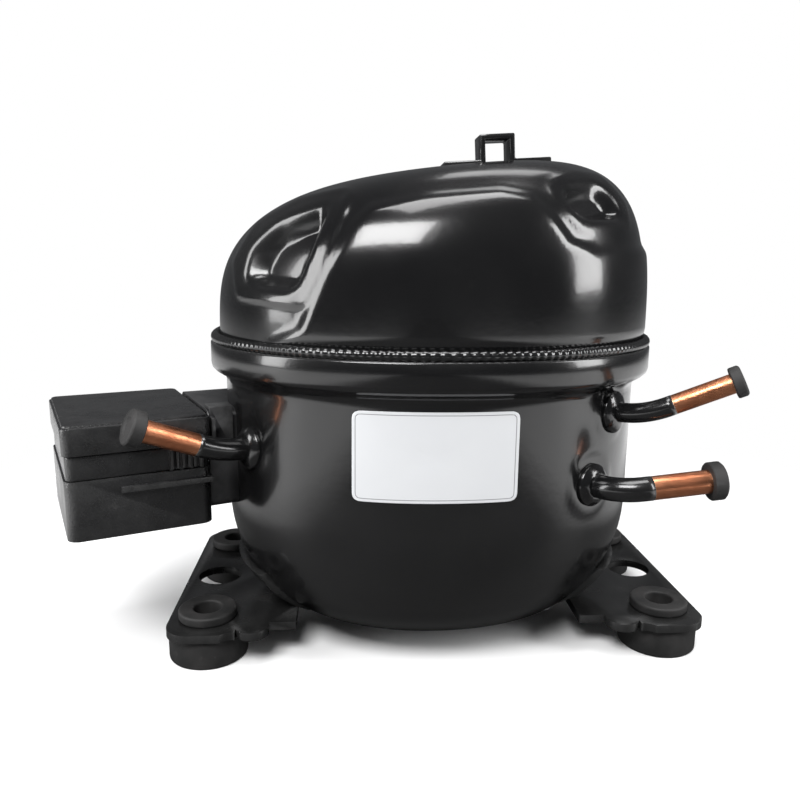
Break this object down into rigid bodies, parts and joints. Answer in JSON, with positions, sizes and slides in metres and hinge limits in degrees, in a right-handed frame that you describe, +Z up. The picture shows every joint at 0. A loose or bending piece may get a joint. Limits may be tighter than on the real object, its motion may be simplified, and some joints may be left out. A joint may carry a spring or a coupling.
{
  "type": "hermetic reciprocating compressor",
  "caption": "Welded oval shell on sprung feet, holding an electric motor that drives a piston pump; copper suction, discharge and process tubes and a clip-on electrical box.",
  "frame": {"origin": "centre of the mounting bolt pattern, on the plane that the grommets stand on", "axes": "+X towards the suction and discharge tubes, +Y away from the tube side, +Z up along the shaft"},
  "size_m": [0.2451, 0.1462, 0.1896],
  "materials": {
    "black_paint": "glossy black baked paint",
    "black_rubber": "matte",
    "copper_tube": "drawn copper, slightly tarnished",
    "silver_label": "satin silver film, blank",
    "black_plastic": "fine grained satin",
    "cream_plastic": "satin",
    "steel": "satin",
    "grey_iron": "machined casting",
    "lamination": "stacked sheet edges",
    "winding": "enamelled copper wire",
    "cast_aluminium": "die cast",
    "sealing_glass": "fused",
    "gasket_fibre": "compressed fibre",
    "bronze": "sintered",
    "lead_sleeve": "braided insulation"
  },
  "bodies": {
    "shell": {"lower_shell": "black_paint", "upper_shell": "black_paint", "weld_seam": "black_paint", "lid_bracket": "black_paint", "base_plate_left": "black_paint", "base_plate_right": "black_paint", "grommet_front_left": "black_rubber", "grommet_front_right": "black_rubber", "grommet_rear_left": "black_rubber", "grommet_rear_right": "black_rubber", "suction_tube": "copper_tube", "discharge_tube": "copper_tube", "process_tube": "copper_tube", "suction_collar": "black_paint", "discharge_collar": "black_paint", "process_collar": "black_paint", "blank_label": "silver_label", "terminal_cup": "black_paint", "terminal_glass": "sealing_glass", "terminal_pins": "steel", "terminal_fence": "black_paint", "earth_screw": "bronze", "box_clip": "steel", "spring_posts": "steel"},
    "terminal_box": {"starter_housing": "black_plastic", "junction_box": "black_plastic", "ptc_starter": "cream_plastic", "overload_protector": "black_plastic"},
    "box_cover": {"box_lid": "black_plastic"},
    "pump": {"suspension_springs": "steel", "spring_caps": "cream_plastic", "stator_core": "lamination", "motor_windings": "winding", "stator_bolts": "steel", "winding_connector": "cream_plastic", "inner_leads": "lead_sleeve", "cylinder_block": "grey_iron", "valve_plate": "steel", "reed_stop": "steel", "head_gaskets": "gasket_fibre", "cylinder_head": "cast_aluminium", "head_bolts": "steel", "suction_muffler": "cream_plastic", "muffler_cap": "cream_plastic", "discharge_dome": "steel", "shock_loop": "copper_tube", "thrust_washer": "bronze"},
    "crank": {"crankshaft": "steel", "oil_pickup": "cast_aluminium", "rotor_core": "lamination", "rotor_cage": "cast_aluminium", "counterweight": "steel"},
    "oil_duct_ball": {"duct_ball": "steel"},
    "yoke_block": {"slide_block": "steel"},
    "piston_body": {"piston": "grey_iron"},
    "suction_valve": {"suction_reed": "steel"},
    "discharge_valve": {"discharge_reed": "steel"},
    "suction_cap": {"suction_plug": "black_rubber"},
    "discharge_cap": {"discharge_plug": "black_rubber"},
    "process_cap": {"process_plug": "black_rubber"}
  },
  "joints": [
    {"name": "suction_plug_pull", "type": "slide", "parent": "shell", "child": "suction_cap", "axis": [0.9924, -0.0298, 0.1192], "range_m": [0, 0.03]},
    {"name": "discharge_plug_pull", "type": "slide", "parent": "shell", "child": "discharge_cap", "axis": [0.8389, -0.3388, 0.4259], "range_m": [0, 0.03]},
    {"name": "process_plug_pull", "type": "slide", "parent": "shell", "child": "process_cap", "axis": [-0.8028, -0.4638, 0.3746], "range_m": [0, 0.03]},
    {"name": "box_pull", "type": "slide", "parent": "shell", "child": "terminal_box", "axis": [-0.9135, -0.4067, 0], "range_m": [0, 0.035]},
    {"name": "cover_lift", "type": "slide", "parent": "terminal_box", "child": "box_cover", "axis": [0, 0, 1], "range_m": [0, 0.02]},
    {"name": "pump_float", "type": "slide", "parent": "shell", "child": "pump", "axis": [0, 0, 1], "range_m": [-0.002, 0.002], "stiffness_N_per_m": 12000, "springref_m": 0.0045, "deforming": ["suspension_springs", "shock_loop", "inner_leads"]},
    {"name": "crank_spin", "type": "hinge", "parent": "pump", "child": "crank", "pos_m": [0, 0, 0.117], "axis": [0, 0, 1], "continuous": true},
    {"name": "block_turn", "type": "hinge", "parent": "crank", "child": "yoke_block", "pos_m": [0, 0.008, 0.137], "axis": [0, 0, 1], "continuous": true},
    {"name": "ball_turn", "type": "hinge", "parent": "crank", "child": "oil_duct_ball", "pos_m": [0, 0.004, 0.1418], "axis": [0, 0, 1], "continuous": true},
    {"name": "piston_stroke", "type": "hinge", "parent": "oil_duct_ball", "child": "piston_body", "pos_m": [0, 0, 0.137], "axis": [0, 0, 1], "continuous": true},
    {"name": "suction_reed_flex", "type": "hinge", "parent": "pump", "child": "suction_valve", "pos_m": [0.05305, 0.005, 0.1265], "axis": [0, -1, 0], "range_deg": [0, 2.5], "stiffness_Nm_per_rad": 0.005},
    {"name": "discharge_reed_flex", "type": "hinge", "parent": "pump", "child": "discharge_valve", "pos_m": [0.05585, -0.005, 0.1265], "axis": [0, 1, 0], "range_deg": [0, 4], "stiffness_Nm_per_rad": 0.005}
  ],
  "couplings": [
    {"joint": "block_turn", "follows": "crank_spin", "ratio": -1},
    {"joint": "ball_turn", "follows": "crank_spin", "ratio": -2},
    {"joint": "piston_stroke", "follows": "crank_spin", "ratio": 1}
  ]
}
